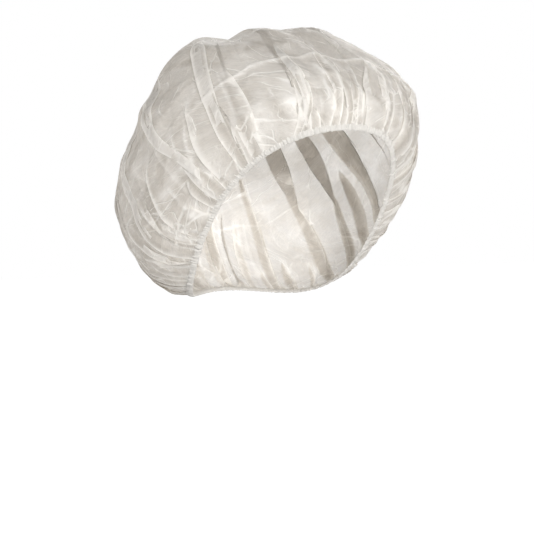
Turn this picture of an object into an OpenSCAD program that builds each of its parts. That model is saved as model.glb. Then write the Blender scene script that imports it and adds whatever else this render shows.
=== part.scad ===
// Disposable bouffant cap: one round sheet of thin non-woven fabric whose edge is
// turned over a covered elastic cord, gathered to the wearer's head and welded.
// Millimetres. The front of the cap faces -Y, the wearer's left is +X, up is +Z.
// The origin is the middle of the opening, whose plane is tilted so that the edge is
// high on the forehead and low at the nape. phi runs round the edge, from 0 at the
// forehead to 180 at the nape.

/* [Opening] */
// Half of the worn opening's width
open_hw = 75; // [68:1:82]
// Half of the worn opening's length, forehead to nape
open_hl = 106; // [98:1:114]
// How far the edge dips behind the ears, out of the opening's plane
edge_dip = 26; // [10:1:30]
// Tilt of the opening, forehead up and nape down, in degrees
open_tilt = 36.5; // [25:0.5:45]

/* [Crown] */
// Half width of the dome that the sheet fills
dome_a = 117; // [105:1:125]
// Half length of the dome
dome_b = 120; // [110:1:130]
// Half height of the dome
dome_c = 122; // [112:1:130]
// How far the dome leans back, in degrees
dome_lean = 23; // [10:1:35]
// Squareness of the dome, 2 is an ellipsoid
dome_power = 2.3; // [2:0.1:2.6]
// Share of the way up over which the sheet curls in to the edge
curl_share = 0.43; // [0.35:0.01:0.6]
// Wall that stands for the sheet, with its small folds
sheet_t = 0.5; // [0.4:0.1:1]

/* [Edge] */
// Width of the hem that is turned over the elastic
hem_w = 6; // [5:0.5:8]
// Thickness of the hem with the elastic in it
hem_t = 2.6; // [2.4:0.1:3.2]
// Wall of the hem
hem_wall = 0.3; // [0.25:0.05:0.4]
// Width of the welded line that closes the hem
weld_w = 1.2; // [0.8:0.1:1.6]
// Thickness of the welded line
weld_t = 0.4; // [0.3:0.05:0.6]

/* [Elastic] */
// Radius of the stretchy core
core_r = 0.45; // [0.3:0.05:0.5]
// Outer radius of the yarn cover
cover_r = 0.8; // [0.7:0.05:0.85]
// Steps of the edge that the collar over the cord's joined ends takes, each about 7 mm
splice_steps = 2; // [2:2:4]

/* [Hidden] */
// Gap between parts that lie inside each other
clearance = 0.06;
// Gap between the weld and the rim of the crown's wall
crown_gap = 1;
// Gap at rest between the front and the rear half of the cap
split_gap = 0.4;
// Outer radius of the splice collar
splice_r = cover_r + 0.16;
// Steps round half of the crown and from its edge to its top
crown_steps = 54;
crown_rings = 26;
// Steps along half of the edge, and sides of a cord and of the hem
edge_steps = 44;
cord_sides = 8;
hem_sides = 12;
// Where the front half starts and ends, and where the rear half does
front_arc = [-90, 90];
rear_arc = [90, 270];

// ---- the edge's curve and the crown's surface, as worn ----

function unit(v) = v / norm(v);
function rounded(v, power) = sign(v) * pow(abs(v), power);

// From the opening's own frame to the worn one
function worn(p) = [
    p[0],
    p[1] * cos(open_tilt) + p[2] * sin(open_tilt),
    -p[1] * sin(open_tilt) + p[2] * cos(open_tilt)
];

// The edge at phi: a long oval that dips behind the ears
function edge(phi) = worn([
    -open_hw * rounded(sin(phi), 0.92),
    -open_hl * rounded(cos(phi), 0.95),
    -edge_dip * pow(sin(phi), 2) * pow(1 - 0.9 * cos(phi), 2) / 1.6
]);

// The dome: its middle, its pole and its radius in any direction
dome_middle = [0, 6, 14];
pole = [0, sin(35.5), cos(35.5)];
function dome_radius(d) =
    let(y = d[1] * cos(dome_lean) + d[2] * sin(dome_lean),
        z = -d[1] * sin(dome_lean) + d[2] * cos(dome_lean))
    pow(pow(abs(d[0]) / dome_a, dome_power) + pow(abs(y) / dome_b, dome_power)
        + pow(abs(z) / dome_c, dome_power), -1 / dome_power);

// A point of the crown at phi, from the edge at t = 0 to the pole at t = 1. Near the
// edge the sheet curls in from the dome to meet it.
function crown_point(phi, t) =
    let(spoke = edge(phi) - dome_middle,
        start = unit(spoke),
        turn = acos(start * pole),
        dir = (start * sin(turn * (1 - t)) + pole * sin(turn * t)) / sin(turn),
        curl = pow(1 - min(t / curl_share, 1), 2.2),
        short = norm(spoke) / dome_radius(start))
    dome_middle + dir * dome_radius(dir) * (1 - curl + curl * short);

// The crown's outward normal, from two short chords
function crown_normal(phi, t) = unit(cross(
    crown_point(phi, t + 0.002) - crown_point(phi, t - 0.002),
    crown_point(phi + 0.4, t) - crown_point(phi - 0.4, t)));

// Along the edge, up the crown from it, and out of the cap's wall
function along(phi) = unit(edge(phi + 0.3) - edge(phi - 0.3));
function rise(phi) = (crown_point(phi, 0.01) - crown_point(phi, 0)) / 0.01;
function up_wall(phi) = let(r = rise(phi), a = along(phi)) unit(r - (r * a) * a);
function out_wall(phi) = cross(up_wall(phi), along(phi));

// The crown starts just above the weld: its t there, brought closer in two steps
crown_from = hem_w / 2 + weld_w + crown_gap;
function closer(phi, t) = t * crown_from / norm(crown_point(phi, t) - edge(phi));
function crown_start(phi) = closer(phi, closer(phi, crown_from / norm(rise(phi))));

// ---- bodies swept or laid along an arc of the edge ----

function step_phi(arc, i, steps) = arc[0] + (arc[1] - arc[0]) * i / steps;

// Places of the section's [up, out] points at phi
function section_at(phi, section) =
    [for (p = section) edge(phi) + p[0] * up_wall(phi) + p[1] * out_wall(phi)];

function oval(half_up, half_out, sides) =
    [for (k = [0 : sides - 1]) [half_up * cos(360 * k / sides), half_out * sin(360 * k / sides)]];

// A solid bar of the given section along an arc
module edge_bar(arc, section, steps = edge_steps) {
    n = len(section);
    points = [for (i = [0 : steps]) each section_at(step_phi(arc, i, steps), section)];
    sides = [for (i = [0 : steps - 1], k = [0 : n - 1])
        [i * n + k, i * n + (k + 1) % n, (i + 1) * n + (k + 1) % n, (i + 1) * n + k]];
    start = [[for (k = [n - 1 : -1 : 0]) k]];
    end = [[for (k = [0 : n - 1]) steps * n + k]];
    polyhedron(points, concat(sides, start, end), convexity = 8);
}

// A tube between two sections with the same number of points along an arc
module edge_tube(arc, outer, inner, steps = edge_steps) {
    n = len(outer);
    ring = 2 * n;
    points = [for (i = [0 : steps]) each section_at(step_phi(arc, i, steps), concat(outer, inner))];
    outside = [for (i = [0 : steps - 1], k = [0 : n - 1])
        [i * ring + k, i * ring + (k + 1) % n, (i + 1) * ring + (k + 1) % n, (i + 1) * ring + k]];
    inside = [for (i = [0 : steps - 1], k = [0 : n - 1])
        [i * ring + n + (k + 1) % n, i * ring + n + k,
         (i + 1) * ring + n + k, (i + 1) * ring + n + (k + 1) % n]];
    start = [for (k = [0 : n - 1]) [(k + 1) % n, k, n + k, n + (k + 1) % n]];
    end = [for (k = [0 : n - 1])
        [steps * ring + k, steps * ring + (k + 1) % n,
         steps * ring + n + (k + 1) % n, steps * ring + n + k]];
    polyhedron(points, concat(outside, inside, start, end), convexity = 8);
}

// Half of the crown's wall: an outer and an inner skin that meet the top in one point
module crown_half(arc) {
    rows = crown_rings;
    skin = (crown_steps + 1) * rows;
    top = 2 * skin;
    function grid_t(phi, j) = crown_start(phi) + (1 - crown_start(phi)) * j / rows;
    function at(i, j) = i * rows + j;
    outer = [for (i = [0 : crown_steps], j = [0 : rows - 1])
        let(phi = step_phi(arc, i, crown_steps)) crown_point(phi, grid_t(phi, j))];
    inner = [for (i = [0 : crown_steps], j = [0 : rows - 1])
        let(phi = step_phi(arc, i, crown_steps), t = grid_t(phi, j))
        crown_point(phi, t) - sheet_t * crown_normal(phi, t)];
    summit = dome_middle + pole * dome_radius(pole);
    tips = [summit, summit - sheet_t * pole];
    skins = [for (i = [0 : crown_steps - 1], j = [0 : rows - 2]) each [
        [at(i, j), at(i, j + 1), at(i + 1, j + 1), at(i + 1, j)],
        [skin + at(i, j), skin + at(i + 1, j), skin + at(i + 1, j + 1), skin + at(i, j + 1)]]];
    fans = [for (i = [0 : crown_steps - 1]) each [
        [at(i, rows - 1), top, at(i + 1, rows - 1)],
        [skin + at(i, rows - 1), skin + at(i + 1, rows - 1), top + 1]]];
    rim = [for (i = [0 : crown_steps - 1])
        [at(i, 0), at(i + 1, 0), skin + at(i + 1, 0), skin + at(i, 0)]];
    cuts = [for (j = [0 : rows - 2]) each [
        [at(0, j), skin + at(0, j), skin + at(0, j + 1), at(0, j + 1)],
        [at(crown_steps, j), at(crown_steps, j + 1),
         skin + at(crown_steps, j + 1), skin + at(crown_steps, j)]]];
    cut_ends = [
        [at(0, rows - 1), skin + at(0, rows - 1), top + 1, top],
        [at(crown_steps, rows - 1), top, top + 1, skin + at(crown_steps, rows - 1)]];
    polyhedron(concat(outer, inner, tips), concat(skins, fans, rim, cuts, cut_ends), convexity = 6);
}

// The rear half stands a gap behind the front one, along the opening
module behind() { translate(worn([0, split_gap, 0])) children(); }

// ---- sections of the edge's pieces ----

hem_outer = oval(hem_w / 2, hem_t / 2, hem_sides);
hem_inner = oval(hem_w / 2 - hem_wall, hem_t / 2 - hem_wall, hem_sides);
weld_low = hem_w / 2 + clearance / 2;
weld_section = [
    [weld_low, -weld_t / 2], [weld_low + weld_w - clearance, -weld_t / 2],
    [weld_low + weld_w - clearance, weld_t / 2], [weld_low, weld_t / 2]
];
core_section = oval(core_r, core_r, cord_sides);
cover_outer = oval(cover_r, cover_r, cord_sides);
cover_inner = oval(core_r + clearance, core_r + clearance, cord_sides);
splice_outer = oval(splice_r, splice_r, cord_sides);
splice_inner = oval(cover_r + clearance, cover_r + clearance, cord_sides);
// The splice's arc at the nape ends on the cord's own steps, so that their chords agree
splice_half = splice_steps / 2 * 180 / edge_steps;
splice_arc = [180 - splice_half, 180 + splice_half];

// ---- the pieces ----

module crown_front() { color([0.93, 0.91, 0.89]) crown_half(front_arc); }
module crown_rear() { color([0.91, 0.89, 0.87]) behind() crown_half(rear_arc); }
module hem_front() { color([0.97, 0.96, 0.95]) edge_tube(front_arc, hem_outer, hem_inner); }
module hem_rear() { color([0.96, 0.95, 0.94]) behind() edge_tube(rear_arc, hem_outer, hem_inner); }
module hem_weld_front() { color([0.99, 0.98, 0.97]) edge_bar(front_arc, weld_section); }
module hem_weld_rear() { color([0.99, 0.98, 0.97]) behind() edge_bar(rear_arc, weld_section); }
module elastic_core_front() { color([0.86, 0.84, 0.78]) edge_bar(front_arc, core_section); }
module elastic_core_rear() { color([0.86, 0.84, 0.78]) behind() edge_bar(rear_arc, core_section); }
module elastic_cover_front() {
    color([0.98, 0.98, 0.98]) edge_tube(front_arc, cover_outer, cover_inner);
}
module elastic_cover_rear() {
    color([0.98, 0.98, 0.98]) behind() edge_tube(rear_arc, cover_outer, cover_inner);
}
module elastic_splice() {
    color([0.95, 0.95, 0.93])
        behind() edge_tube(splice_arc, splice_outer, splice_inner, steps = splice_steps);
}

crown_front();
crown_rear();
hem_front();
hem_rear();
hem_weld_front();
hem_weld_rear();
elastic_core_front();
elastic_core_rear();
elastic_cover_front();
elastic_cover_rear();
elastic_splice();
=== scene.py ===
import math

import bpy
import numpy as np
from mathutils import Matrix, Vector


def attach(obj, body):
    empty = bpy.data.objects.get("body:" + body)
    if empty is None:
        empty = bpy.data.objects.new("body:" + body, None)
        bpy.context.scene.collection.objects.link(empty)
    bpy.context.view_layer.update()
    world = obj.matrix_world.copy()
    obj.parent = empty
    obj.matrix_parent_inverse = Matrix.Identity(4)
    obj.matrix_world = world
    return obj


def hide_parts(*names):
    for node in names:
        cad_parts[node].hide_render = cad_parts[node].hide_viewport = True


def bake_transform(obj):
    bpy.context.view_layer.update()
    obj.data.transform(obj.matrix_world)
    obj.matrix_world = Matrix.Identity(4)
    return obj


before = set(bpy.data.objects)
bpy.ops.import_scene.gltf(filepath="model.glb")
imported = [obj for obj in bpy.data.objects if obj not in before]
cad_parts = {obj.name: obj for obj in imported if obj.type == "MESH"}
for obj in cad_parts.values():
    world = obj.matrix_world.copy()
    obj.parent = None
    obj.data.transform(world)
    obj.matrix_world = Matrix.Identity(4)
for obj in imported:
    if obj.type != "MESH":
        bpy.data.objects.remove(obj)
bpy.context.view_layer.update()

# ---------------------------------------------------------------- shape of the cap, as in the CAD
# Metres. phi runs round the edge from 0 at the forehead to pi at the nape.
OPEN_HALF_W = 0.075
OPEN_HALF_L = 0.106
EDGE_DIP = 0.026
OPEN_TILT = math.radians(36.5)
DOME_HALF = (0.117, 0.120, 0.122)
DOME_LEAN = math.radians(23)
DOME_POWER = 2.3
DOME_MIDDLE = np.array([0.0, 0.006, 0.014])
POLE = np.array([0.0, math.sin(math.radians(35.5)), math.cos(math.radians(35.5))])
CURL_SHARE = 0.43
HEM_W = 0.006
DISC_R = 0.2665
HEM_TURN = 0.012


def unit(v):
    return v / np.linalg.norm(v, axis=-1, keepdims=True)


def worn(x, y, z):
    c, s = math.cos(OPEN_TILT), math.sin(OPEN_TILT)
    return np.stack([x, y * c + z * s, -y * s + z * c], -1)


def edge(phi):
    s, c = np.sin(phi), np.cos(phi)
    x = -OPEN_HALF_W * np.sign(s) * np.abs(s) ** 0.92
    y = -OPEN_HALF_L * np.sign(c) * np.abs(c) ** 0.95
    z = -EDGE_DIP * s ** 2 * (1 - 0.9 * c) ** 2 / 1.6
    return worn(x, y, z)


def dome_radius(d):
    c, s = math.cos(DOME_LEAN), math.sin(DOME_LEAN)
    y = d[..., 1] * c + d[..., 2] * s
    z = -d[..., 1] * s + d[..., 2] * c
    a, b, h = DOME_HALF
    total = (np.abs(d[..., 0]) / a) ** DOME_POWER
    total = total + (np.abs(y) / b) ** DOME_POWER + (np.abs(z) / h) ** DOME_POWER
    return total ** (-1 / DOME_POWER)


def crown_point(phi, t):
    """A point of the smooth crown, from the edge at t = 0 to the pole at t = 1."""
    spoke = edge(phi) - DOME_MIDDLE
    reach = np.linalg.norm(spoke, axis=-1)
    start = spoke / reach[..., None]
    turn = np.arccos(np.clip(start @ POLE, -1, 1))
    k0 = np.sin(turn * (1 - t)) / np.sin(turn)
    k1 = np.sin(turn * t) / np.sin(turn)
    d = unit(start * k0[..., None] + POLE * k1[..., None])
    curl = (1 - np.minimum(t / CURL_SHARE, 1)) ** 2.2
    short = reach / dome_radius(start)
    r = dome_radius(d) * (1 - curl + curl * short)
    return DOME_MIDDLE + d * r[..., None]


def crown_normal(phi, t):
    e = 1e-3
    up = crown_point(phi, t + e) - crown_point(phi, t - e)
    round_ = crown_point(phi + 0.007, t) - crown_point(phi - 0.007, t)
    return unit(np.cross(up, round_))


# phi at equal steps of the edge's length: the sheet is gathered evenly along the elastic
_fine = np.linspace(0, 2 * np.pi, 4001)
_step = np.linalg.norm(np.diff(edge(_fine), axis=0), axis=1)
_length = np.concatenate([[0], np.cumsum(_step)])
EDGE_LENGTH = _length[-1]


def phi_at(share):
    """phi at a share of the way round the edge."""
    whole = np.floor(share)
    return 2 * np.pi * whole + np.interp((share - whole) * EDGE_LENGTH, _length, _fine)


# ---------------------------------------------------------------- smooth noise on the cap
def ring_noise(share, waves, seed):
    """Smooth noise round the cap: a few sines with random phases."""
    r = np.random.default_rng(seed)
    out = np.zeros_like(share)
    total = 0
    for k in waves:
        amp = r.uniform(0.5, 1.0) / k ** 0.5
        out += amp * np.sin(2 * np.pi * (k * share + r.random()))
        total += amp ** 2
    return out / math.sqrt(total / 2)


def cloud_noise(x, y, scale, seed, octaves=3):
    """Smooth noise in the sheet's own flat plane: sines in random directions."""
    r = np.random.default_rng(seed)
    out = np.zeros_like(x)
    total = 0
    for o in range(octaves):
        for _ in range(9):
            a = r.uniform(0, 2 * np.pi)
            f = 2 * np.pi * 2 ** o / scale * r.uniform(0.6, 1.4)
            amp = 0.55 ** o
            out += amp * np.sin(f * (x * math.cos(a) + y * math.sin(a)) + r.uniform(0, 6.28))
            total += amp ** 2
    return out / math.sqrt(total / 2)


def smooth(x, lo, hi):
    t = np.clip((x - lo) / (hi - lo), 0, 1)
    return t * t * (3 - 2 * t)


# ---------------------------------------------------------------- the crown sheet
# The spare width of the disc lies in pleats: most are short and close to the elastic, some
# reach part of the way up, and every seventh runs far up the crown. Each pleat has seven
# columns of the grid: four across the part that is turned back, three on to the next pleat.
PLEATS = 98
AROUND, RINGS = 7 * PLEATS, 88
FINE_RINGS = 142
CROWN_FROM = 0.006
LAYER_GAP = 0.0007
PLEAT_WIDTH_MAX = 0.0115
BILLOW = 0.0024


def crown_rows(count):
    """t of each row, closer together near the edge, where the gathers are."""
    row = np.linspace(0, 1, count)
    return CROWN_FROM + (0.985 - CROWN_FROM) * (0.6 * row + 0.4 * row ** 1.7)


def pleat_plan():
    """For each pleat: where it starts, its slant, where it ends, its size and which way it lies."""
    r = np.random.default_rng(5)
    plan = []
    for k in range(PLEATS):
        start = (k + r.uniform(-0.28, 0.28)) / PLEATS
        lies = r.random() < 0.5
        slant = r.normal(0, 0.017)
        if k % 7 == 0:
            end, size = r.uniform(0.42, 0.72), r.uniform(0.7, 1.5)
        elif k % 7 in (2, 5):
            end, size = r.uniform(0.24, 0.5), r.uniform(0.7, 1.3)
        else:
            end, size = r.uniform(0.08, 0.22), r.uniform(0.6, 1.2)
        plan.append((start, slant, end, size, lies))
    start, slant, end, size, lies = (np.array(v) for v in zip(*plan))
    return start, slant, end, size, lies


def pleat_middle(start, slant, t):
    """Share of the way round at which a pleat stands, at height t; its foot is at t = 0."""
    return start + slant * np.sin(3 * t + 9 * start) + 0.2 * slant * np.sin(14 * t)


def gathered_crown():
    """The sheet as first gathered: it turns back on itself in pleats that lie nearly flat."""
    t = crown_rows(RINGS)
    share = np.arange(AROUND) / AROUND
    plain, T = np.meshgrid(share, t, indexing="ij")
    level = crown_point(phi_at(plain), T)
    girth = np.linalg.norm(level - np.roll(level, 1, 0), axis=-1).sum(0)
    rho = (DISC_R - HEM_TURN) * (1 - (t - CROWN_FROM) / (1 - CROWN_FROM))
    spare = np.maximum(0, 2 * np.pi * rho - girth)
    start, slant, end, size, lies = (v[:, None] for v in pleat_plan())
    weight = size * (1 - smooth(t[None], 0.4 * end, end))
    width = np.minimum(0.5 * spare * weight / (weight.sum(0) + 1e-6), PLEAT_WIDTH_MAX)
    middle = pleat_middle(start, slant, t[None])
    alive = smooth(width, 0.0, 0.0035)
    loose = 3.0 - 2.0 * smooth(t, 0.03, 0.20)
    gap = LAYER_GAP * np.minimum(1.4, 0.4 + 60 * width) * alive * loose
    first = gap * np.where(lies, 0.5, 1.5)
    second = gap * np.where(lies, 1.5, 0.5)
    half = 0.5 * width / girth
    after = np.roll(middle, -1, 0)
    after[-1] += 1
    before = np.roll(middle, 1, 0)
    before[0] -= 1
    u = np.empty((PLEATS, 7, RINGS))
    h = np.empty((PLEATS, 7, RINGS))
    for role in range(7):
        x = (role - 1.5) / 7
        even = middle + (after - middle) * x if x > 0 else middle + (middle - before) * x
        if role < 4:
            folded = middle + half * (1 - 2 * role / 3)
            keep = alive
            h[:, role] = first + (second - first) * role / 3
        else:
            q = (role - 3) / 4
            to = after + np.roll(half, -1, 0)
            folded = middle - half + (to - middle + half) * q
            keep = alive * (1 - q) + np.roll(alive, -1, 0) * q
            h[:, role] = second * (1 - q) ** 1.3 + np.roll(first, -1, 0) * q ** 1.3
            h[:, role] += 0.5 * gap * math.sin(math.pi * q)
        u[:, role] = even + keep * (folded - even)
    u = u.reshape(AROUND, RINGS)
    h = h.reshape(AROUND, RINGS) * (0.35 + 0.65 * smooth(t, 0.0, 0.08))
    # the flat disc's angle follows the length along the folded sheet
    P = crown_point(phi_at(u), T) + crown_normal(phi_at(u), T) * h[..., None]
    step = np.linalg.norm(np.roll(P, -1, 0) - P, axis=-1)
    A = (np.cumsum(step, 0) - step) / step.sum(0)
    A = A - (A - plain).mean(0)
    flat = rho[None, :, None] * np.stack([np.sin(2 * np.pi * A), -np.cos(2 * np.pi * A)], -1)
    billow = BILLOW * cloud_noise(P[..., 0] + 0.4 * P[..., 2], P[..., 1] - P[..., 2], 0.10, 8, 2)
    lift = (billow - 0.002) * smooth(T, 0.08, 0.4)
    P = P + crown_normal(phi_at(u), T) * lift[..., None]
    role = np.arange(AROUND) % 7
    kept = np.repeat(alive, 7, axis=0)
    # 1 on the three layers turned back in each pleat, 0 in the middle of the single layer between
    # pleats: the colour is whiter on more layers of web, and greyer between pleats as painted shade
    stack = kept * np.where(role < 4, 1.0, np.where(role == 5, 0.0, 0.55))[:, None]
    # the two fold lines of each pleat, where the colour is painted whiter: partly the denser turn
    # of the web, partly a painted highlight
    line = kept * np.where((role == 0) | (role == 3), 1.0, 0.0)[:, None]
    return P, flat, u, T, stack, line


def new_object(name, points, faces, flat=None):
    """A smooth-shaded mesh object; flat holds each point's place on the flat sheet."""
    mesh = bpy.data.meshes.new(name)
    mesh.from_pydata(points, [], faces)
    if flat is not None:
        attr = mesh.attributes.new("flat", "FLOAT_VECTOR", "POINT")
        attr.data.foreach_set("vector", np.column_stack([flat, np.zeros(len(flat))]).ravel())
    mesh.polygons.foreach_set("use_smooth", [True] * len(mesh.polygons))
    mesh.update()
    obj = bpy.data.objects.new(name, mesh)
    bpy.context.collection.objects.link(obj)
    return obj


def grid_mesh(name, P, flat=None):
    """A ring-shaped grid of points as a mesh, its last row joined to one point."""
    n, m = P.shape[:2]
    i = np.arange(n)[:, None]
    j = np.arange(m - 1)[None, :]
    a = i * m + j
    b = ((i + 1) % n) * m + j
    faces = np.stack([a, b, b + 1, a + 1], -1).reshape(-1, 4).tolist()
    top = n * m
    last = np.arange(n) * m + m - 1
    faces += [[int(last[q]), int(last[(q + 1) % n]), top] for q in range(n)]
    points = np.vstack([P.reshape(-1, 3), P[:, -1].mean(0)])
    if flat is not None:
        flat = np.vstack([flat.reshape(-1, 2), [[0, 0]]])
    return new_object(name, points.tolist(), faces, flat)


SETTLE_FRAMES = 16


def settle(P, flat):
    """Cloth simulation: the gathered sheet takes up the lengths of the flat disc."""
    n, m = P.shape[:2]
    obj = grid_mesh("settling", P)
    obj.shape_key_add(name="Basis")
    cut = obj.shape_key_add(name="cut")
    f = np.vstack([flat.reshape(-1, 2), [[0, 0]]])
    cut.data.foreach_set("co", np.column_stack([f, np.zeros(len(f))]).ravel())
    held = obj.vertex_groups.new(name="held")
    held.add([i * m for i in range(n)], 1.0, "REPLACE")
    held.add([i * m + 1 for i in range(n)], 0.6, "REPLACE")
    cloth = obj.modifiers.new("cloth", "CLOTH")
    st = cloth.settings
    st.quality = 5
    st.mass = 0.05
    st.tension_stiffness = 15
    st.compression_stiffness = 6
    st.shear_stiffness = 8
    st.bending_stiffness = 0.05
    st.tension_damping = st.compression_damping = st.shear_damping = 5
    st.bending_damping = 0.5
    st.air_damping = 2
    st.vertex_group_mass = "held"
    st.pin_stiffness = 1
    st.rest_shape_key = cut
    st.use_pressure = True
    st.uniform_pressure_force = 0.4
    st.effector_weights.gravity = 0.03
    cloth.collision_settings.use_collision = False
    cloth.collision_settings.use_self_collision = False
    cloth.point_cache.frame_end = SETTLE_FRAMES + 1
    scene = bpy.context.scene
    for frame_no in range(1, SETTLE_FRAMES + 1):
        scene.frame_set(frame_no)
    found = obj.evaluated_get(bpy.context.evaluated_depsgraph_get()).to_mesh()
    co = np.empty(len(found.vertices) * 3)
    found.vertices.foreach_get("co", co)
    scene.frame_set(1)
    mesh = obj.data
    bpy.data.objects.remove(obj)
    bpy.data.meshes.remove(mesh)
    return co.reshape(-1, 3)[:n * m].reshape(n, m, 3)


def shared_move(move):
    """The settling, averaged over each pleat, so that the layers of a pleat move together."""
    reach = 6
    total = sum(np.roll(move, k, 0) for k in range(-reach, reach + 1))
    return total / (2 * reach + 1)


def finer(V):
    """Values at more rows up the crown, on a smooth cubic through the given ones."""
    places = np.arange(FINE_RINGS) * (RINGS - 1) / (FINE_RINGS - 1)
    V = np.moveaxis(V, 1, 0)
    k = np.floor(places).astype(int)
    x = (places - k).reshape(-1, *[1] * (V.ndim - 1))
    p0, p1, p2, p3 = (V[np.clip(k + step, 0, len(V) - 1)] for step in (-1, 0, 1, 2))
    square = 2 * p0 - 5 * p1 + 4 * p2 - p3
    cubic = 3 * (p1 - p2) + p3 - p0
    out = p1 + 0.5 * x * (p2 - p0 + x * (square + x * cubic))
    return np.moveaxis(out, 0, 1)


# Long creases, laid out by rule: even fans that climb from the edge over the forehead and
# both ears, and one ridge that runs round the front above them.
FAN_MIDDLES = (0.0, 0.25, 0.75)
FAN_CREASES = 4
FAN_HALF = 0.05
FAN_OPENS = 1.5
CREASE_HEIGHT = 0.0020
CREASE_WIDTH = 0.0013
BROW_HALF = 0.2
BROW_T = 0.3
# the crown's rough girth at mid height and its way up from edge to pole, in metres
MIDDLE_GIRTH = 0.72
CROWN_CLIMB = 0.235


def crease_lines():
    """The points of every crease, each a share of the way round and a t."""
    lines = []
    for middle in FAN_MIDDLES:
        for k, offset in enumerate(np.linspace(-FAN_HALF, FAN_HALF, FAN_CREASES)):
            top = 0.28 if k % 2 == 0 else 0.18
            lines.append([(middle + offset, 0.02), (middle + FAN_OPENS * offset, top)])
    share = np.linspace(-BROW_HALF, BROW_HALF, 9)
    t = BROW_T + 0.03 * np.cos(math.pi * share / BROW_HALF)
    lines.append(list(zip(share, t)))
    return lines


def crumple(U, T):
    """Small flat facets with sharp lines between them, and how near a line each point is; the web's
    colour is painted whiter near the lines, a painted highlight.
    """
    x = 0.21 * (1 - T) * np.sin(2 * np.pi * U)
    y = -0.21 * (1 - T) * np.cos(2 * np.pi * U)
    lift = np.zeros_like(U)
    line = np.zeros_like(U)
    for scale, height, seed in ((0.075, 0.0011, 61), (0.048, 0.0008, 62), (0.030, 0.0005, 63)):
        n = cloud_noise(x, y, scale, seed, 1)
        where = smooth(cloud_noise(x, y, 0.09, seed + 10, 1), -0.6, 0.7)
        sign = 1 if seed != 62 else -1
        lift += sign * height * where * (0.8 - np.abs(n))
        line = np.maximum(line, where * np.exp(-np.abs(n) / 0.10) * (0.55 if sign > 0 else 0.25))
    fade = smooth(T, 0.02, 0.16)
    return lift * fade, line * fade


def girth_at(t):
    return MIDDLE_GIRTH * np.minimum(1.0, 1.9 * (1 - t))


def add_creases(P, U, T):
    """Raise narrow ridges along the creases; returns the sheet and how near a crease each point is,
    where the web's colour is painted whiter: partly denser web, partly a painted highlight.
    """
    lift, creased_and_highlight = crumple(U, T)
    creased_and_highlight = 0.6 * creased_and_highlight
    for points in crease_lines():
        nearest = np.full(U.shape, 1.0)
        along = np.zeros(U.shape)
        spans = len(points) - 1
        for k in range(spans):
            (a0, t0), (a1, t1) = points[k], points[k + 1]
            dx = ((U - a0 + 0.5) % 1.0 - 0.5) * girth_at(T)
            dy = (T - t0) * CROWN_CLIMB
            ex = (a1 - a0) * girth_at(0.5 * (t0 + t1))
            ey = (t1 - t0) * CROWN_CLIMB
            w = np.clip((dx * ex + dy * ey) / (ex * ex + ey * ey), 0, 1)
            d = np.hypot(dx - w * ex, dy - w * ey)
            closer = d < nearest
            nearest = np.where(closer, d, nearest)
            along = np.where(closer, (k + w) / spans, along)
        taper = np.clip(4 * np.minimum(along + 0.05, 1.03 - along), 0, 1)
        lift += 0.45 * CREASE_HEIGHT * np.exp(-(nearest / (1.5 * CREASE_WIDTH)) ** 2) * taper
        creased_and_highlight = np.maximum(creased_and_highlight, np.exp(-np.abs(nearest) / (0.8 * CREASE_WIDTH)) * taper)
    return P + crown_normal(phi_at(U), T) * lift[..., None], creased_and_highlight


def sharpen_folds(mesh):
    """Keep the two fold lines of each pleat crisp in the shading."""
    ends = np.empty(2 * len(mesh.edges), dtype=int)
    mesh.edges.foreach_get("vertices", ends)
    column = ends.reshape(-1, 2) // FINE_RINGS
    sharp = (column[:, 0] == column[:, 1]) & np.isin(column[:, 0] % 7, (0, 3))
    attr = mesh.attributes.new("sharp_edge", "BOOLEAN", "EDGE")
    attr.data.foreach_set("value", sharp)


def build_crown():
    P, flat, U, T, stack, line = gathered_crown()
    P = P + shared_move(settle(P, flat) - P)
    P, flat, U, T = finer(P), finer(flat), finer(U), finer(T)
    P, creased_and_highlight = add_creases(P, U, T)
    return P, flat, creased_and_highlight, np.clip(finer(line), 0, 1), np.clip(finer(stack), 0, 1)


# ---------------------------------------------------------------- hem, elastic and weld
HEM_STEPS, HEM_SIDES = 1500, 16
HEM_HALF_T = 0.0011


def edge_frame(share):
    """Points of the edge with the directions along it, up the crown, and outwards."""
    phi = phi_at(share)
    centre = edge(phi)
    along = unit(edge(phi + 0.004) - edge(phi - 0.004))
    rise = crown_point(phi, np.full_like(phi, 0.01)) - crown_point(phi, np.zeros_like(phi))
    rise = unit(rise - (rise * along).sum(-1, keepdims=True) * along)
    return centre, along, rise, np.cross(rise, along)


PUCKER_SHARE = np.sort(pleat_middle(*pleat_plan()[:2], 0.0) % 1.0)


def pucker(share):
    """How far the gathered hem bulges out: a rounded pucker at the foot of each pleat."""
    r = np.random.default_rng(31)
    out = 0.34 * ring_noise(share, range(90, 420, 3), 34)
    for place in PUCKER_SHARE:
        size, width = r.uniform(0.15, 0.8), r.uniform(0.0008, 0.0019) / EDGE_LENGTH
        out = out + size * np.exp(-(((share - place + 0.5) % 1.0 - 0.5) / width) ** 2)
    return out - 0.35


def ring_mesh(name, P, flat=None):
    """A closed ring with a closed section, from a grid of points."""
    n, m = P.shape[:2]
    i = np.arange(n)[:, None]
    j = np.arange(m)[None, :]
    next_i, next_j = (i + 1) % n, (j + 1) % m
    corners = [i * m + j, next_i * m + j, next_i * m + next_j, i * m + next_j]
    faces = np.stack(corners, -1).reshape(-1, 4).tolist()
    if flat is not None:
        flat = flat.reshape(-1, 2)
    return new_object(name, P.reshape(-1, 3).tolist(), faces, flat)


def round_section(sides, rise, out):
    """Directions round a cord at each of its points."""
    turn = 2 * np.pi * np.arange(sides) / sides
    return np.cos(turn)[None, :, None] * rise[:, None] + np.sin(turn)[None, :, None] * out[:, None]


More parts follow.
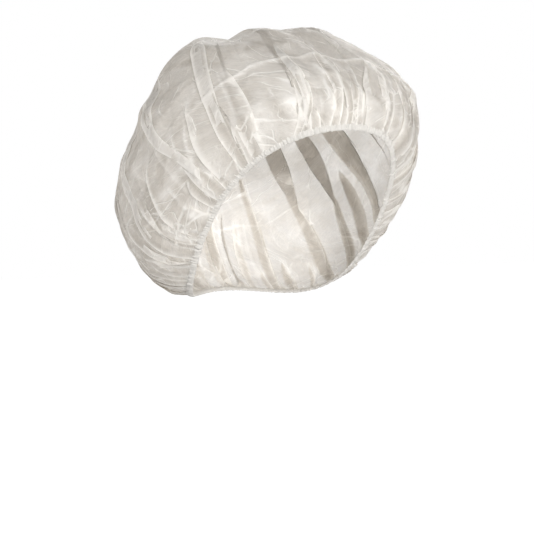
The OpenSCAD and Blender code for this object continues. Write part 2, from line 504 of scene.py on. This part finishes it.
def build_hem():
    share = np.arange(HEM_STEPS) / HEM_STEPS
    centre, _, rise, out = edge_frame(share)
    turn = 2 * np.pi * np.arange(HEM_SIDES) / HEM_SIDES
    S, C = np.meshgrid(share, turn, indexing="ij")
    bulge = pucker(S + 0.0006 * np.cos(C + 4 * S))
    ruffle = ring_noise(S, range(90, 260), 33)
    up = 0.5 * HEM_W * np.cos(C) * (1 + 0.05 * ruffle)
    up += 0.00030 * bulge * (np.cos(C) < 0) + 0.0003 * ruffle * (np.cos(C) > 0)
    thick = HEM_HALF_T * (1 + 0.22 * bulge)
    side = thick * np.sin(C) * (1 - 0.25 * np.cos(C) ** 4) + 0.00035 * bulge
    P = centre[:, None] + up[..., None] * rise[:, None] + side[..., None] * out[:, None]
    flat = np.stack([S * 2 * np.pi * DISC_R, 0.5 * HEM_W * np.cos(C) + 0.3], -1)
    return ring_mesh("hem", P, flat)


CORD_STEPS = 1188
CORD_WANDER = 0.0003
CORE_R = 0.00045
YARN_TURNS = 594
STEPS_PER_TURN = 10
YARN_COIL_R = 0.00061
YARN_HALF_T = 0.00017
YARN_FLATNESS = 1.9


def cord_path(share):
    """The cord's middle line inside the hem, which it follows in and out of the puckers."""
    centre, _, rise, out = edge_frame(share)
    return centre + CORD_WANDER * pucker(share)[:, None] * out, rise, out


def build_core():
    centre, rise, out = cord_path(np.arange(CORD_STEPS) / CORD_STEPS)
    return ring_mesh("elastic_core", centre[:, None] + CORE_R * round_section(8, rise, out))


def build_yarn():
    """The yarn cover: one filament wound round the core as a long helix."""
    steps = YARN_TURNS * STEPS_PER_TURN
    share = np.arange(steps) / steps
    centre, rise, out = cord_path(share)
    angle = 2 * np.pi * YARN_TURNS * share
    radial = np.cos(angle)[:, None] * rise + np.sin(angle)[:, None] * out
    path = centre + YARN_COIL_R * radial
    along = unit(np.roll(path, -1, 0) - np.roll(path, 1, 0))
    across = YARN_FLATNESS * unit(np.cross(along, radial))
    return ring_mesh("elastic_yarn", path[:, None] + YARN_HALF_T * round_section(5, radial, across))


COLLAR_ROWS, COLLAR_SIDES = 24, 16
COLLAR_HALF_SHARE = 0.0115
COLLAR_R = 0.00105


def build_splice():
    """The collar where the cord's ends are joined, at the nape, with rounded ends."""
    n, m = COLLAR_ROWS, COLLAR_SIDES
    place = np.linspace(-1, 1, n)
    centre, rise, out = cord_path(0.5 + COLLAR_HALF_SHARE * place)
    radius = COLLAR_R * np.sqrt(np.clip(1 - np.abs(place) ** 8, 0.02, 1))
    radius = radius * (1 + 0.05 * np.sin(9 * place))
    P = centre[:, None] + radius[:, None, None] * round_section(m, rise, out)
    faces = []
    for i in range(n - 1):
        for j in range(m):
            k = (j + 1) % m
            faces.append((i * m + j, (i + 1) * m + j, (i + 1) * m + k, i * m + k))
    faces.append(tuple(reversed(range(m))))
    faces.append(tuple((n - 1) * m + j for j in range(m)))
    return new_object("elastic_collar", P.reshape(-1, 3).tolist(), faces)


WELD_DOTS = 236
WELD_UP = 0.0036
WELD_OUT = 0.0006
WELD_WANDER = 0.00025
DOT_SIDES = 8
DOT_HALF_L = 0.00060
DOT_HALF_W = 0.00032
# the rings of a dot: share of its full size, and height in metres
DOT_RINGS = ((1.0, -0.00025), (1.0, 0.00005), (0.6, 0.00018))
DOT_TOP = 0.0002


def build_weld():
    """A row of small fused dots that closes the hem, just above it on the sheet."""
    co, faces = [], []
    for k in range(WELD_DOTS):
        share = np.array([round(k * AROUND / WELD_DOTS) % AROUND / AROUND])
        centre, along, rise, out = (v[0] for v in edge_frame(share))
        place = centre + WELD_UP * rise + (WELD_OUT + WELD_WANDER * pucker(share)[0]) * out
        base = len(co)
        for r, h in DOT_RINGS:
            for q in range(DOT_SIDES):
                a = 2 * math.pi * q / DOT_SIDES
                offset = math.cos(a) * DOT_HALF_L * r * along + math.sin(a) * DOT_HALF_W * r * rise
                co.append(place + offset + h * out)
        co.append(place + DOT_TOP * out)
        for ring in range(2):
            for q in range(DOT_SIDES):
                a = base + ring * DOT_SIDES + q
                b = base + ring * DOT_SIDES + (q + 1) % DOT_SIDES
                faces.append((a, b, b + DOT_SIDES, a + DOT_SIDES))
        last = base + 2 * DOT_SIDES
        for q in range(DOT_SIDES):
            faces.append((last + q, last + (q + 1) % DOT_SIDES, last + DOT_SIDES))
        faces.append(tuple(base + q for q in reversed(range(DOT_SIDES))))
    return new_object("hem_weld_dots", [tuple(c) for c in co], faces)


# ---------------------------------------------------------------- materials
def new_material(name):
    mat = bpy.data.materials.new(name)
    mat.use_nodes = True
    nt = mat.node_tree
    nt.nodes.clear()
    return mat, nt


def socket(node, name, value):
    node.inputs[name].default_value = value


def math_node(nt, operation, a, b=None, c=None):
    node = nt.nodes.new("ShaderNodeMath")
    node.operation = operation
    for i, v in enumerate((a, b, c)):
        if v is None:
            continue
        if isinstance(v, (int, float)):
            node.inputs[i].default_value = v
        else:
            nt.links.new(v, node.inputs[i])
    return node.outputs[0]


def map_range(nt, value, lo, hi, to_lo, to_hi):
    node = nt.nodes.new("ShaderNodeMapRange")
    socket(node, "From Min", lo)
    socket(node, "From Max", hi)
    socket(node, "To Min", to_lo)
    socket(node, "To Max", to_hi)
    nt.links.new(value, node.inputs["Value"])
    return node.outputs["Result"]


def attribute(nt, name, output="Fac"):
    node = nt.nodes.new("ShaderNodeAttribute")
    node.attribute_name = name
    return node.outputs[output]


def mix_shaders(nt, share, first, second):
    """Two shaders mixed; share is how much of the second, a number or a node's output."""
    mix = nt.nodes.new("ShaderNodeMixShader")
    if isinstance(share, (int, float)):
        socket(mix, "Fac", share)
    else:
        nt.links.new(share, mix.inputs["Fac"])
    nt.links.new(first, mix.inputs[1])
    nt.links.new(second, mix.inputs[2])
    return mix.outputs[0]


def add_bump(nt, body, height, strength, distance):
    bump = nt.nodes.new("ShaderNodeBump")
    socket(bump, "Strength", strength)
    socket(bump, "Distance", distance)
    nt.links.new(height, bump.inputs["Height"])
    nt.links.new(bump.outputs[0], body.inputs["Normal"])


def flat_noise(nt, where, scale, detail, rough, angle=0.0, stretch=1.0, bend=0.0):
    """Noise in the sheet's flat plane, scale in waves to the metre."""
    mp = nt.nodes.new("ShaderNodeMapping")
    socket(mp, "Rotation", (0, 0, math.radians(angle)))
    socket(mp, "Scale", (scale, scale / stretch, scale))
    nt.links.new(where, mp.inputs["Vector"])
    nz = nt.nodes.new("ShaderNodeTexNoise")
    socket(nz, "Scale", 1.0)
    socket(nz, "Detail", detail)
    socket(nz, "Roughness", rough)
    socket(nz, "Distortion", bend)
    nt.links.new(mp.outputs["Vector"], nz.inputs["Vector"])
    return nz.outputs["Fac"]


def spokes(nt, where):
    """The flat disc's own directions: metres round it at mid radius, and metres outwards."""
    parts = nt.nodes.new("ShaderNodeSeparateXYZ")
    nt.links.new(where, parts.inputs["Vector"])
    x, y = parts.outputs["X"], parts.outputs["Y"]
    angle = math_node(nt, "ARCTAN2", x, math_node(nt, "MULTIPLY", y, -1.0))
    out = math_node(nt, "SQRT", math_node(nt, "ADD", math_node(nt, "MULTIPLY", x, x),
                                          math_node(nt, "MULTIPLY", y, y)))
    both = nt.nodes.new("ShaderNodeCombineXYZ")
    nt.links.new(math_node(nt, "MULTIPLY", angle, 0.17), both.inputs["X"])
    nt.links.new(out, both.inputs["Y"])
    return both.outputs["Vector"], out


def wrinkle_lines(nt, where):
    """Thin straight wrinkles: some anywhere, as in crumpled paper, most along the pleats. They give
    bump and a colour painted whiter, a painted highlight.
    """
    polar, out = spokes(nt, where)
    near_edge = map_range(nt, out, 0.16, 0.215, 0.0, 1.0)
    lines = None
    for place, scale, thin, angle, stretch, lo, window in (
        (where, 19.0, 0.020, 20, 2.6, 0.50, None),
        (where, 36.0, 0.028, 75, 2.8, 0.53, None),
        (polar, 44.0, 0.020, 4, 3.6, 0.48, None),
        (polar, 84.0, 0.032, -6, 4.2, 0.45, near_edge),
    ):
        turned = nt.nodes.new("ShaderNodeMapping")
        socket(turned, "Rotation", (0, 0, math.radians(angle)))
        socket(turned, "Scale", (scale, scale / stretch, scale))
        nt.links.new(place, turned.inputs["Vector"])
        cells = nt.nodes.new("ShaderNodeTexVoronoi")
        cells.feature = "DISTANCE_TO_EDGE"
        socket(cells, "Scale", 1.0)
        nt.links.new(turned.outputs["Vector"], cells.inputs["Vector"])
        line = map_range(nt, cells.outputs["Distance"], 0.0, thin, 1.0, 0.0)
        patch = flat_noise(nt, where, scale * 0.8, 1.0, 0.5, angle + 40)
        line = math_node(nt, "MULTIPLY", line, map_range(nt, patch, lo, lo + 0.12, 0.0, 1.0))
        if window is not None:
            line = math_node(nt, "MULTIPLY", line, window)
        lines = line if lines is None else math_node(nt, "MAXIMUM", lines, line)
    return lines


# direction in degrees, how drawn out, and waves to the metre, of each lay of fibres
FIBRES = [(15, 9.0, 520), (62, 8.0, 470), (108, 9.0, 560), (152, 8.0, 430)]


def fibre_lines(nt, where):
    """Fine fibres in four lays: 1 on a fibre, 0 between them."""
    fibres = None
    for angle, stretch, scale in FIBRES:
        n = flat_noise(nt, where, scale, 1.5, 0.5, angle, stretch, 0.8)
        off = math_node(nt, "ABSOLUTE", math_node(nt, "SUBTRACT", n, 0.5))
        line = map_range(nt, off, 0.0, 0.045, 1.0, 0.0)
        fibres = line if fibres is None else math_node(nt, "MAXIMUM", fibres, line)
    return fibres


def heaped_and_painted_web(nt, where, cover, wrinkle_and_highlight):
    """The cover with folds, creases, wrinkles and layers added, and how white they look: partly
    more layers of web, partly a painted highlight along folds, creases and wrinkles, with painted
    shade between pleats.
    """
    # folds and creases: a little more cover, and a colour painted whiter, partly denser web and
    # partly a painted highlight
    fold_and_highlight = math_node(nt, "MULTIPLY", math_node(nt, "POWER", attribute(nt, "fold_and_highlight"), 2.5), 0.7)
    marks_and_highlights = math_node(nt, "MAXIMUM", fold_and_highlight, attribute(nt, "creased_and_highlight"))
    layers = attribute(nt, "stack")
    for amount, share in ((marks_and_highlights, 0.3), (wrinkle_and_highlight, 0.22), (layers, 0.16)):
        cover = math_node(nt, "MULTIPLY_ADD", amount, share, cover)
    clump = flat_noise(nt, where, 26.0, 4.0, 0.6, 35, 2.2, 1.0)
    heap_and_painted_light = math_node(nt, "ADD", marks_and_highlights, map_range(nt, clump, 0.50, 0.72, 0.0, 0.5))
    # how far the colour goes towards white: painted highlight on wrinkles, folds and creases,
    # whiter on more layers of web, painted shade between pleats where layers is 0, and random
    # clumps of fibre
    for amount, share in ((wrinkle_and_highlight, 0.75), (layers, 0.62)):
        heap_and_painted_light = math_node(nt, "MULTIPLY_ADD", amount, share, heap_and_painted_light)
    return cover, math_node(nt, "MINIMUM", heap_and_painted_light, 1.0)


def web_material(name, thin, thick, colour, behind, heaped_and_highlight=None):
    """Spunbond web, milky and cloudy; the last argument is its colour where it is folded, stacked,
    creased or wrinkled: partly more layers of web, partly a painted highlight.
    """
    mat, nt = new_material(name)
    where = attribute(nt, "flat", "Vector")
    fibres = fibre_lines(nt, where)
    cloud = flat_noise(nt, where, 48.0, 5.0, 0.62, bend=0.6)
    cover = map_range(nt, cloud, 0.34, 0.66, thin, thick)
    cover = math_node(nt, "MULTIPLY_ADD", fibres, 0.10, cover)
    grain = flat_noise(nt, where, 150.0, 3.0, 0.55, bend=1.2)
    height = math_node(nt, "MULTIPLY_ADD", fibres, 0.08, grain)
    body = nt.nodes.new("ShaderNodeBsdfPrincipled")
    socket(body, "Base Color", (*colour, 1))
    socket(body, "Roughness", 0.55)
    socket(body, "Specular IOR Level", 0.35)
    back = nt.nodes.new("ShaderNodeBsdfTranslucent")
    socket(back, "Color", (*colour, 1))
    if heaped_and_highlight is not None:
        wrinkle_and_highlight = wrinkle_lines(nt, where)
        cover, heap_and_painted_light = heaped_and_painted_web(nt, where, cover, wrinkle_and_highlight)
        height = math_node(nt, "MULTIPLY_ADD", wrinkle_and_highlight, 0.7, height)
        # The web's grey colour is painted shade; it goes towards the whiter colour where folded,
        # creased, wrinkled or stacked: partly more layers of web, partly a painted highlight.
        tint = nt.nodes.new("ShaderNodeMix")
        tint.data_type = "RGBA"
        tint.inputs["A"].default_value = (*colour, 1)
        tint.inputs["B"].default_value = (*heaped_and_highlight, 1)
        nt.links.new(heap_and_painted_light, tint.inputs["Factor"])
        nt.links.new(tint.outputs["Result"], body.inputs["Base Color"])
        nt.links.new(tint.outputs["Result"], back.inputs["Color"])
    add_bump(nt, body, height, 0.5, 0.0016)
    gap = nt.nodes.new("ShaderNodeBsdfTransparent")
    fabric = mix_shaders(nt, behind, body.outputs[0], back.outputs[0])
    seen = mix_shaders(nt, math_node(nt, "MINIMUM", cover, 0.98), gap.outputs[0], fabric)
    out = nt.nodes.new("ShaderNodeOutputMaterial")
    nt.links.new(seen, out.inputs["Surface"])
    return mat


def yarn_material(name, colour, rough):
    """Wound or spun filament: fine streaks along it."""
    mat, nt = new_material(name)
    out = nt.nodes.new("ShaderNodeOutputMaterial")
    where = nt.nodes.new("ShaderNodeTexCoord").outputs["Object"]
    streak = flat_noise(nt, where, 2600.0, 2.0, 0.6, stretch=3.0)
    ramp = nt.nodes.new("ShaderNodeValToRGB")
    ramp.color_ramp.elements[0].position = 0.3
    ramp.color_ramp.elements[0].color = (*[0.8 * c for c in colour], 1)
    ramp.color_ramp.elements[1].position = 0.7
    ramp.color_ramp.elements[1].color = (*colour, 1)
    nt.links.new(streak, ramp.inputs["Fac"])
    body = nt.nodes.new("ShaderNodeBsdfPrincipled")
    socket(body, "Roughness", rough)
    nt.links.new(ramp.outputs["Color"], body.inputs["Base Color"])
    add_bump(nt, body, streak, 0.3, 0.0002)
    nt.links.new(body.outputs[0], out.inputs["Surface"])
    return mat


# ---------------------------------------------------------------- camera, lights, floor
AZIMUTH = math.radians(-32)
ELEVATION = math.radians(2)
DISTANCE = 2.4
LENS_MM = 210.5
# where the camera aims, in metres right of and above the origin
AIM_RIGHT = -0.0134
AIM_UP = -0.0485


def build_camera():
    back = Vector((
        math.sin(AZIMUTH) * math.cos(ELEVATION),
        -math.cos(AZIMUTH) * math.cos(ELEVATION),
        math.sin(ELEVATION),
    ))
    right = Vector((math.cos(AZIMUTH), math.sin(AZIMUTH), 0))
    up = back.cross(right)
    data = bpy.data.cameras.new("camera")
    data.sensor_width = 36
    data.lens = LENS_MM
    data.clip_end = 50
    cam = bpy.data.objects.new("camera", data)
    bpy.context.collection.objects.link(cam)
    cam.location = back * DISTANCE
    aim = right * AIM_RIGHT + up * AIM_UP
    cam.rotation_euler = (aim - cam.location).to_track_quat("-Z", "Y").to_euler()
    bpy.context.scene.camera = cam


# name, place and size in metres, power in watts
LIGHTS = (
    ("key", (-0.5, -2.9, 0.7), 0.6, 88),
    ("rim", (-2.3, 1.9, 0.6), 1.4, 48),
    ("back", (1.7, 2.0, 0.9), 1.6, 54),
    ("side", (2.9, -0.5, 0.5), 1.4, 18),
)
LIGHTS_AIM = (0, 0, 0.03)


def area_light(name, place, size, power):
    data = bpy.data.lights.new(name, "AREA")
    data.shape = "DISK"
    data.size = size
    data.energy = power
    obj = bpy.data.objects.new(name, data)
    bpy.context.collection.objects.link(obj)
    obj.location = place
    aim = Vector(LIGHTS_AIM) - Vector(place)
    obj.rotation_euler = aim.to_track_quat("-Z", "Y").to_euler()


FLOOR_Z = -0.30
FLOOR_HALF = 4.0


def seen_and_lit(nt, seen, lit):
    """One shader for what the camera sees and another for the light that it gives."""
    path = nt.nodes.new("ShaderNodeLightPath")
    return mix_shaders(nt, path.outputs["Is Camera Ray"], lit, seen)


def build_studio():
    for light in LIGHTS:
        area_light(*light)
    world = bpy.data.worlds.new("world")
    bpy.context.scene.world = world
    world.use_nodes = True
    nt = world.node_tree
    nt.nodes.clear()
    out = nt.nodes.new("ShaderNodeOutputWorld")
    seen = nt.nodes.new("ShaderNodeBackground")
    socket(seen, "Strength", 1.0)
    socket(seen, "Color", (1, 1, 1, 1))
    lit = nt.nodes.new("ShaderNodeBackground")
    socket(lit, "Strength", 0.18)
    socket(lit, "Color", (1, 1, 1, 1))
    nt.links.new(seen_and_lit(nt, seen.outputs[0], lit.outputs[0]), out.inputs["Surface"])
    mesh = bpy.data.meshes.new("floor")
    s, z = FLOOR_HALF, FLOOR_Z
    mesh.from_pydata([(-s, -s, z), (s, -s, z), (s, s, z), (-s, s, z)], [], [(0, 1, 2, 3)])
    floor = bpy.data.objects.new("floor", mesh)
    bpy.context.collection.objects.link(floor)
    mat, nt = new_material("floor")
    out = nt.nodes.new("ShaderNodeOutputMaterial")
    paper = nt.nodes.new("ShaderNodeBsdfDiffuse")
    socket(paper, "Color", (0.8, 0.8, 0.8, 1))
    glow = nt.nodes.new("ShaderNodeEmission")
    socket(glow, "Strength", 1.3)
    bright = mix_shaders(nt, 0.8, paper.outputs[0], glow.outputs[0])
    nt.links.new(seen_and_lit(nt, bright, paper.outputs[0]), out.inputs["Surface"])
    mesh.materials.append(mat)
    bpy.context.scene.view_settings.view_transform = "Standard"


# ---------------------------------------------------------------- put together
build_camera()
build_studio()

P, flat, creased_and_highlight, line, stack = build_crown()
crown = grid_mesh("crown_sheet", P, flat)
sharpen_folds(crown.data)
# point values for where the web's colour is painted whiter along folds and creases, partly denser
# web and partly a painted highlight, and greyer between pleats, a painted shade
for name, values in (("creased_and_highlight", creased_and_highlight), ("fold_and_highlight", line), ("stack", stack)):
    attr = crown.data.attributes.new(name, "FLOAT", "POINT")
    attr.data.foreach_set("value", np.append(values.ravel(), 0.0))
hem = build_hem()
core = build_core()
yarn = build_yarn()
splice = build_splice()
dots = build_weld()

# The sheet's grey is darker than the white web itself: painted shade. The whiter colour is where
# the web is folded, creased, wrinkled or stacked: partly more layers of web, partly a painted
# highlight.
SHEET_TINT_AND_SHADE = (0.65, 0.612, 0.56)
HEAPED_AND_HIGHLIGHT_COLOUR = (0.97, 0.948, 0.91)
HEM_COLOUR = (0.80, 0.775, 0.735)
web = web_material("nonwoven_web", 0.62, 0.86, SHEET_TINT_AND_SHADE, 0.40, HEAPED_AND_HIGHLIGHT_COLOUR)
crown.data.materials.append(web)
hem.data.materials.append(web_material("gathered_hem", 0.80, 0.93, HEM_COLOUR, 0.25))
core.data.materials.append(yarn_material("elastic_core", (0.80, 0.76, 0.66), 0.5))
yarn.data.materials.append(yarn_material("wound_yarn", (0.93, 0.93, 0.92), 0.7))
splice.data.materials.append(yarn_material("fused_yarn", (0.90, 0.90, 0.88), 0.35))
dots.data.materials.append(yarn_material("fused_web", (0.90, 0.88, 0.85), 0.3))

# each piece, its slot name, and the front and rear parts of model.glb that it stands in for, which
# are hidden
PIECES = [
    (crown, "nonwoven_sheet", ("crown_front", "crown_rear")),
    (hem, "hem_sheet", ("hem_front", "hem_rear")),
    (core, "elastic_core", ("elastic_core_front", "elastic_core_rear")),
    (yarn, "elastic_yarn", ("elastic_cover_front", "elastic_cover_rear")),
    (dots, "weld_line", ("hem_weld_front", "hem_weld_rear")),
]
for piece, slot_name, nodes in PIECES:
    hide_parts(*nodes)
    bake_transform(piece)
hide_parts("elastic_splice")
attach(splice, "rear_half")
